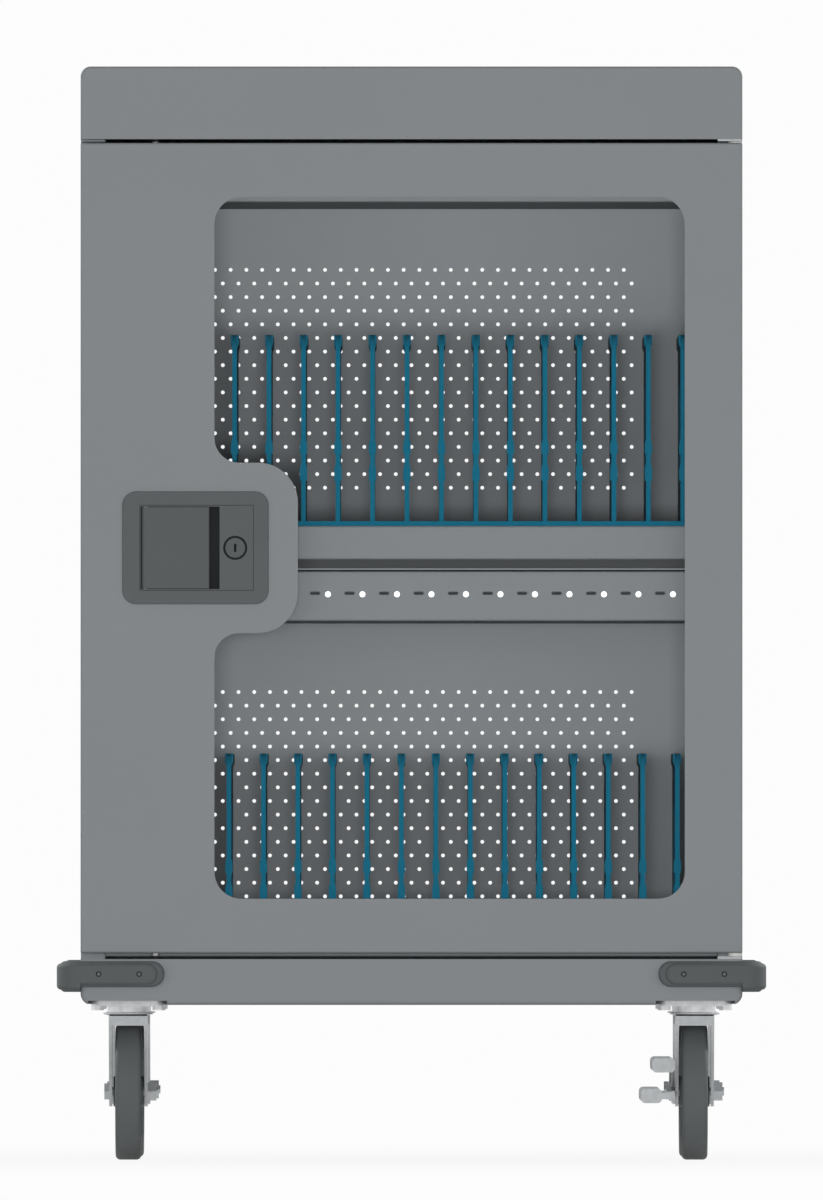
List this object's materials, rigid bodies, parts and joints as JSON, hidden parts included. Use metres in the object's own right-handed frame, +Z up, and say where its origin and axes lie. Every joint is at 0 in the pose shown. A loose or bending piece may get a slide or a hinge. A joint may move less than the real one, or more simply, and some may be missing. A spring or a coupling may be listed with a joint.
{
  "type": "device charging cabinet",
  "caption": "Upright steel charging cabinet on swivel casters, with a windowed lockable door, two bays of upright device slots between dividers, and a charging port over each slot.",
  "frame": {"origin": "on the floor under the middle of the bounding box", "axes": "+Z up, +X to the right seen from the front, front towards -Y"},
  "size_m": [0.658, 0.544, 1.015],
  "materials": {
    "grey_paint": "fine powder coat",
    "dark_paint": "fine powder coat",
    "teal_plastic": "moulded",
    "black_plastic": "moulded",
    "light_lens": "clear moulded",
    "green_board": "lacquered",
    "bright_steel": "zinc plated",
    "supply_case": "plain",
    "clear_pane": "clear sheet",
    "seal_rubber": "matt",
    "bumper_rubber": "matt",
    "tyre_rubber": "matt",
    "hub_plastic": "moulded",
    "nylon": "moulded"
  },
  "bodies": {
    "cabinet": {"top_cap": "grey_paint", "plinth_tray": "grey_paint", "left_side_panel": "grey_paint", "right_side_panel": "grey_paint", "upper_rear_panel": "grey_paint", "lower_rear_panel": "grey_paint", "middle_shelf": "grey_paint", "floor_panel": "grey_paint", "upper_port_channel": "grey_paint", "lower_port_channel": "grey_paint", "channel_lids": "grey_paint", "port_boards": "green_board", "charging_ports": "black_plastic", "status_lights": "light_lens", "power_supplies": "supply_case", "upper_tray": "teal_plastic", "lower_tray": "teal_plastic", "upper_dividers": "teal_plastic", "lower_dividers": "teal_plastic", "mains_inlet": "black_plastic", "wire_duct": "grey_paint", "front_left_bumper": "bumper_rubber", "front_right_bumper": "bumper_rubber", "rear_left_bumper": "bumper_rubber", "rear_right_bumper": "bumper_rubber", "hinge_pivots": "bright_steel", "caster_plates": "bright_steel", "caster_bolts": "bright_steel", "king_pins": "bright_steel"},
    "door": {"door_panel": "grey_paint", "window_seal": "seal_rubber", "window_pane": "clear_pane", "pane_clips": "bright_steel", "latch_housing": "dark_paint", "paddle_pin": "bright_steel", "rod_guides": "nylon", "hinge_bushes": "nylon"},
    "paddle": {"latch_paddle": "dark_paint"},
    "lock": {"lock_barrel": "bright_steel", "lock_crank": "bright_steel"},
    "cam": {"rod_cam": "bright_steel"},
    "link": {"cam_link": "bright_steel"},
    "upper_rod": {"upper_lock_rod": "bright_steel"},
    "lower_rod": {"lower_lock_rod": "bright_steel"},
    "front_left_caster": {"front_left_fork": "bright_steel"},
    "front_left_wheel": {"front_left_hub": "hub_plastic", "front_left_tyre": "tyre_rubber"},
    "front_right_caster": {"front_right_fork": "bright_steel"},
    "front_right_wheel": {"front_right_hub": "hub_plastic", "front_right_tyre": "tyre_rubber"},
    "front_right_brake": {"front_right_brake_lever": "bright_steel"},
    "rear_left_caster": {"rear_left_fork": "bright_steel"},
    "rear_left_wheel": {"rear_left_hub": "hub_plastic", "rear_left_tyre": "tyre_rubber"},
    "rear_right_caster": {"rear_right_fork": "bright_steel"},
    "rear_right_wheel": {"rear_right_hub": "hub_plastic", "rear_right_tyre": "tyre_rubber"},
    "rear_right_brake": {"rear_right_brake_lever": "bright_steel"}
  },
  "joints": [
    {"name": "door_swing", "type": "hinge", "parent": "cabinet", "child": "door", "pos_m": [0.3, -0.236, 0.56835], "axis": [0, 0, 1], "range_deg": [0, 180]},
    {"name": "paddle_pull", "type": "hinge", "parent": "door", "child": "paddle", "pos_m": [-0.2465, -0.2489, 0.56835], "axis": [0, 0, -1], "range_deg": [0, 38], "stiffness_Nm_per_rad": 0.15},
    {"name": "key_turn", "type": "hinge", "parent": "door", "child": "lock", "pos_m": [-0.1635, -0.232, 0.56835], "axis": [0, 1, 0], "range_deg": [0, 90]},
    {"name": "cam_turn", "type": "hinge", "parent": "door", "child": "cam", "pos_m": [-0.2375, -0.232, 0.56835], "axis": [0, 1, 0], "range_deg": [0, 90]},
    {"name": "link_swing", "type": "hinge", "parent": "cam", "child": "link", "pos_m": [-0.24669, -0.232, 0.57754], "axis": [0, 1, 0], "range_deg": [-90, 0]},
    {"name": "upper_rod_throw", "type": "slide", "parent": "door", "child": "upper_rod", "axis": [0, 0, 1], "range_m": [0, 0.01555]},
    {"name": "lower_rod_throw", "type": "slide", "parent": "door", "child": "lower_rod", "axis": [0, 0, -1], "range_m": [0, 0.01555]},
    {"name": "front_left_swivel", "type": "hinge", "parent": "cabinet", "child": "front_left_caster", "pos_m": [-0.2634, -0.165, 0.1405], "axis": [0, 0, 1], "continuous": true},
    {"name": "front_left_roll", "type": "hinge", "parent": "front_left_caster", "child": "front_left_wheel", "pos_m": [-0.2634, -0.127, 0.0635], "axis": [1, 0, 0], "continuous": true},
    {"name": "front_right_swivel", "type": "hinge", "parent": "cabinet", "child": "front_right_caster", "pos_m": [0.2634, -0.165, 0.1405], "axis": [0, 0, 1], "continuous": true},
    {"name": "front_right_roll", "type": "hinge", "parent": "front_right_caster", "child": "front_right_wheel", "pos_m": [0.2634, -0.127, 0.0635], "axis": [1, 0, 0], "continuous": true},
    {"name": "front_right_brake_press", "type": "hinge", "parent": "front_right_caster", "child": "front_right_brake", "pos_m": [0.2634, -0.127, 0.0635], "axis": [1, 0, 0], "range_deg": [0, 16]},
    {"name": "rear_left_swivel", "type": "hinge", "parent": "cabinet", "child": "rear_left_caster", "pos_m": [-0.2634, 0.165, 0.1405], "axis": [0, 0, 1], "continuous": true},
    {"name": "rear_left_roll", "type": "hinge", "parent": "rear_left_caster", "child": "rear_left_wheel", "pos_m": [-0.2634, 0.203, 0.0635], "axis": [1, 0, 0], "continuous": true},
    {"name": "rear_right_swivel", "type": "hinge", "parent": "cabinet", "child": "rear_right_caster", "pos_m": [0.2634, 0.165, 0.1405], "axis": [0, 0, 1], "continuous": true},
    {"name": "rear_right_roll", "type": "hinge", "parent": "rear_right_caster", "child": "rear_right_wheel", "pos_m": [0.2634, 0.203, 0.0635], "axis": [1, 0, 0], "continuous": true},
    {"name": "rear_right_brake_press", "type": "hinge", "parent": "rear_right_caster", "child": "rear_right_brake", "pos_m": [0.2634, 0.203, 0.0635], "axis": [1, 0, 0], "range_deg": [0, 16]}
  ],
  "couplings": [
    {"joint": "key_turn", "follows": "upper_rod_throw", "rad_per_m": 101},
    {"joint": "cam_turn", "follows": "upper_rod_throw", "rad_per_m": 101},
    {"joint": "link_swing", "follows": "upper_rod_throw", "rad_per_m": -101},
    {"joint": "lower_rod_throw", "follows": "upper_rod_throw", "ratio": 1}
  ]
}
